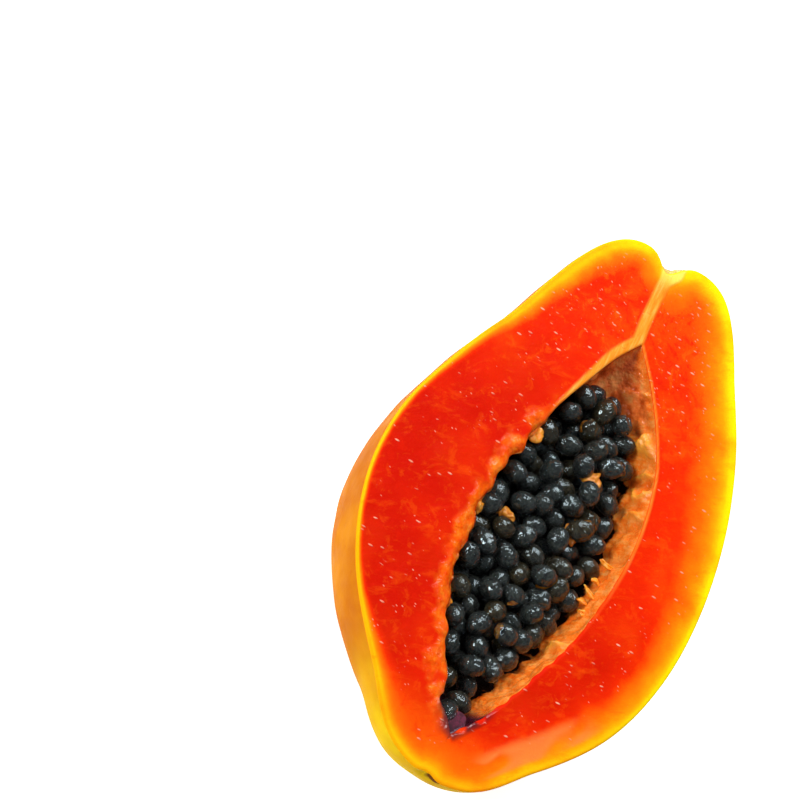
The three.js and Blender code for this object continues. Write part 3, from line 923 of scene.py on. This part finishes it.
def build_pulp():
    random = np.random.default_rng(8)
    bits = []
    for key, (y, depth, length) in enumerate(STUBS):
        middle, half_width, _ = cavity_section(np.array(float(y)))
        wall_x = float(middle + half_width) - 0.02 * depth ** 2
        start = (wall_x + 0.8, y, -depth)
        end = (wall_x - length, y + random.uniform(-1.5, 1.5), -depth + random.uniform(0, 1.4))
        bits.append((*pulp_bit(start, end, 1.5, 200 + key, 0.15, 0.9, 0.26), 0.0))
    for key, (x, y, z, size, murk) in enumerate(SPOTS):
        turn = random.uniform(0, np.pi)
        reach = np.array([math.cos(turn), math.sin(turn), 0.2]) * size * 0.55
        centre = np.array([x, y, z - 0.6])
        bits.append((*pulp_bit(centre - reach, centre + reach, size, 300 + key, 0.2, 0.8, 0.28), murk))
    offset = 0
    points, faces, murky = [], [], []
    for bit_points, bit_faces, murk in bits:
        points.append(bit_points)
        faces.append(bit_faces + offset)
        murky.append(np.full(len(bit_points), murk))
        offset += len(bit_points)
    piece = make_piece("pulp_bits", np.concatenate(points), np.concatenate(faces), [pulp_material()],
                       values={"murky": np.concatenate(murky)})
    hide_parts("seed_bed")


def build_juice():
    """A low rounded pool, like a drop lying on a wet surface."""
    points, faces = ball(4)
    edge = 1 + 0.20 * waves(points * (1, 1, 0), 1.5, 400)
    piece = make_piece("juice_pool", points * edge[:, None] * POOL_HALF_SIZE + POOL_AT, faces,
                       [juice_material()])
    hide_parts("seed_bed")


# ------------------------------------------------------------------ stage, light and camera

CAMERA_AT = (-219.1, -281.5, 478)        # from the fruit's centre, in millimetres
CAMERA_AZIMUTH, CAMERA_ELEVATION, CAMERA_ROLL = -31.56, 56.4, 64.6
LENS = 100


def build_stage():
    bpy.ops.mesh.primitive_plane_add(size=6)
    floor = bpy.context.object
    floor.name = "table"
    paint = Paint("glowing_pale_table")
    cloud = paint.noise(60, detail=2)
    # The table also glows: painted light that keeps it pure white and lights the fruit from below.
    paint.set(Base_Color=paint.mix(cloud, (0.95, 0.95, 0.95), (0.97, 0.97, 0.97)), Roughness=0.7,
              Emission_Color=(1.0, 1.0, 1.0), Emission_Strength=0.7)
    floor.data.materials.append(paint.material)

    world = bpy.data.worlds.new("studio")
    bpy.context.scene.world = world
    world.use_nodes = True
    world.node_tree.nodes["Background"].inputs["Color"].default_value = (1, 1, 1, 1)
    world.node_tree.nodes["Background"].inputs["Strength"].default_value = 0.20


def add_light(name, towards, distance, size, power):
    """A soft white light, placed towards a direction from the fruit and facing it."""
    data = bpy.data.lights.new(name, "AREA")
    data.shape = "RECTANGLE"
    data.size, data.size_y = size
    data.energy = power
    lamp = bpy.data.objects.new(name, data)
    direction = Vector(towards).normalized()
    target = Vector(CENTRE * MM)
    lamp.location = target + direction * distance
    lamp.rotation_euler = (-direction).to_track_quat("-Z", "Y").to_euler()
    bpy.context.scene.collection.objects.link(lamp)


def build_lights():
    add_light("left_pane", (-0.30, 0.56, 0.78), 0.9, (0.26, 0.52), 3.8)
    add_light("right_pane", (0.08, 0.61, 0.78), 0.9, (0.26, 0.52), 3.8)
    add_light("fill", (-0.85, -0.25, 0.46), 1.2, (0.4, 0.4), 10)


def build_camera():
    azimuth, elevation, roll = map(math.radians, (CAMERA_AZIMUTH, CAMERA_ELEVATION, CAMERA_ROLL))
    level = Vector((math.cos(azimuth), math.sin(azimuth), 0))
    back = Vector((math.sin(azimuth) * math.cos(elevation), -math.cos(azimuth) * math.cos(elevation),
                   math.sin(elevation)))
    above = back.cross(level)
    right = level * math.cos(roll) + above * math.sin(roll)
    up = above * math.cos(roll) - level * math.sin(roll)
    data = bpy.data.cameras.new("camera")
    data.lens = LENS
    data.sensor_width = 36
    data.clip_start = 0.01
    camera = bpy.data.objects.new("camera", data)
    bpy.context.scene.collection.objects.link(camera)
    turned = Matrix((right, up, back)).transposed().to_4x4()
    place = (Vector(CAMERA_AT) + Vector(CENTRE)) * MM
    camera.matrix_world = Matrix.Translation(place) @ turned
    bpy.context.scene.camera = camera


build_stage()
build_lights()
build_camera()
build_half()
build_seeds()
build_pulp()
build_juice()
bpy.context.scene.view_settings.view_transform = "Standard"
